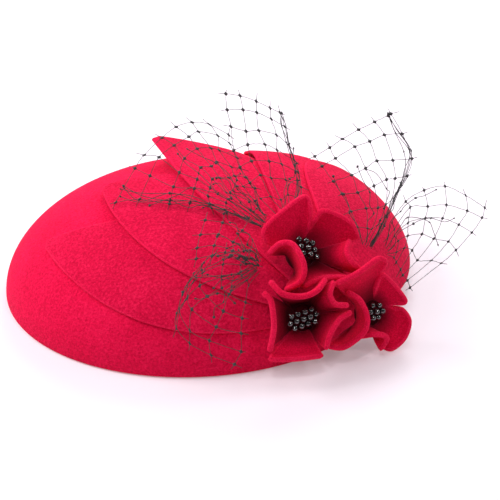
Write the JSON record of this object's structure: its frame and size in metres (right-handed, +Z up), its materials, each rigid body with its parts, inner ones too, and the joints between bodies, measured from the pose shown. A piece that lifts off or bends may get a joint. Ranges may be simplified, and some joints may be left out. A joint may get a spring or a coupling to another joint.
{
  "type": "fascinator hat",
  "caption": "Oval felt fascinator with overlapping felt leaves, folded felt flowers with beaded centres, diamond veiling tufts, inner comb and sprung hair clips.",
  "frame": {"origin": "centre of the rim opening, on the plane the rim rests on", "axes": "+X along the long side of the oval towards the flowers, +Y towards the plain back of the crown, +Z up through the top of the crown"},
  "size_m": [0.2555, 0.1909, 0.1134],
  "materials": {
    "crown_felt": "matte wool felt",
    "leaf_felt": "matte wool felt",
    "petal_felt": "matte brushed wool felt",
    "lining_felt": "matte wool felt",
    "ribbon": "ribbed ribbon",
    "veiling": "fine knotted net",
    "bead_black": "polished",
    "stem_wire": "satin black",
    "rim_wire": "cotton covered wire",
    "comb_plastic": "polished",
    "clip_steel": "plated",
    "spring_steel": "drawn wire"
  },
  "bodies": {
    "hat": {"crown_shell": "crown_felt", "rim_wire": "rim_wire", "sweatband_ribbon": "ribbon", "stitch_patch": "lining_felt", "leaf_1": "leaf_felt", "leaf_2": "leaf_felt", "leaf_3": "leaf_felt", "leaf_4": "leaf_felt", "leaf_5": "leaf_felt", "flower_1_pad": "petal_felt", "flower_1_petal_1": "petal_felt", "flower_1_petal_2": "petal_felt", "flower_1_petal_3": "petal_felt", "flower_1_petal_4": "petal_felt", "flower_1_petal_5": "petal_felt", "flower_1_beads": "bead_black", "flower_1_stems": "stem_wire", "flower_2_pad": "petal_felt", "flower_2_petal_1": "petal_felt", "flower_2_petal_2": "petal_felt", "flower_2_petal_3": "petal_felt", "flower_2_petal_4": "petal_felt", "flower_2_petal_5": "petal_felt", "flower_2_beads": "bead_black", "flower_2_stems": "stem_wire", "flower_3_pad": "petal_felt", "flower_3_petal_1": "petal_felt", "flower_3_petal_2": "petal_felt", "flower_3_petal_3": "petal_felt", "flower_3_petal_4": "petal_felt", "flower_3_petal_5": "petal_felt", "flower_3_beads": "bead_black", "flower_3_stems": "stem_wire", "veil_front": "veiling", "veil_left": "veiling", "veil_top": "veiling", "veil_back": "veiling", "veil_right": "veiling", "comb": "comb_plastic", "clip_left_pad": "lining_felt", "clip_left_base": "clip_steel", "clip_left_pin": "clip_steel", "clip_left_spring": "spring_steel", "clip_right_pad": "lining_felt", "clip_right_base": "clip_steel", "clip_right_pin": "clip_steel", "clip_right_spring": "spring_steel"},
    "left_jaw": {"clip_left_jaw": "clip_steel"},
    "right_jaw": {"clip_right_jaw": "clip_steel"}
  },
  "joints": [
    {"name": "left_clip_hinge", "type": "hinge", "parent": "hat", "child": "left_jaw", "pos_m": [-0.06335, -0.009, 0.03565], "axis": [-0.9114, 0, -0.4115], "range_deg": [0, 28], "stiffness_Nm_per_rad": 0.05, "springref_deg": -20.05},
    {"name": "right_clip_hinge", "type": "hinge", "parent": "hat", "child": "right_jaw", "pos_m": [0.06335, -0.009, 0.03565], "axis": [-0.9114, 0, 0.4115], "range_deg": [0, 28], "stiffness_Nm_per_rad": 0.05, "springref_deg": -20.05}
  ]
}
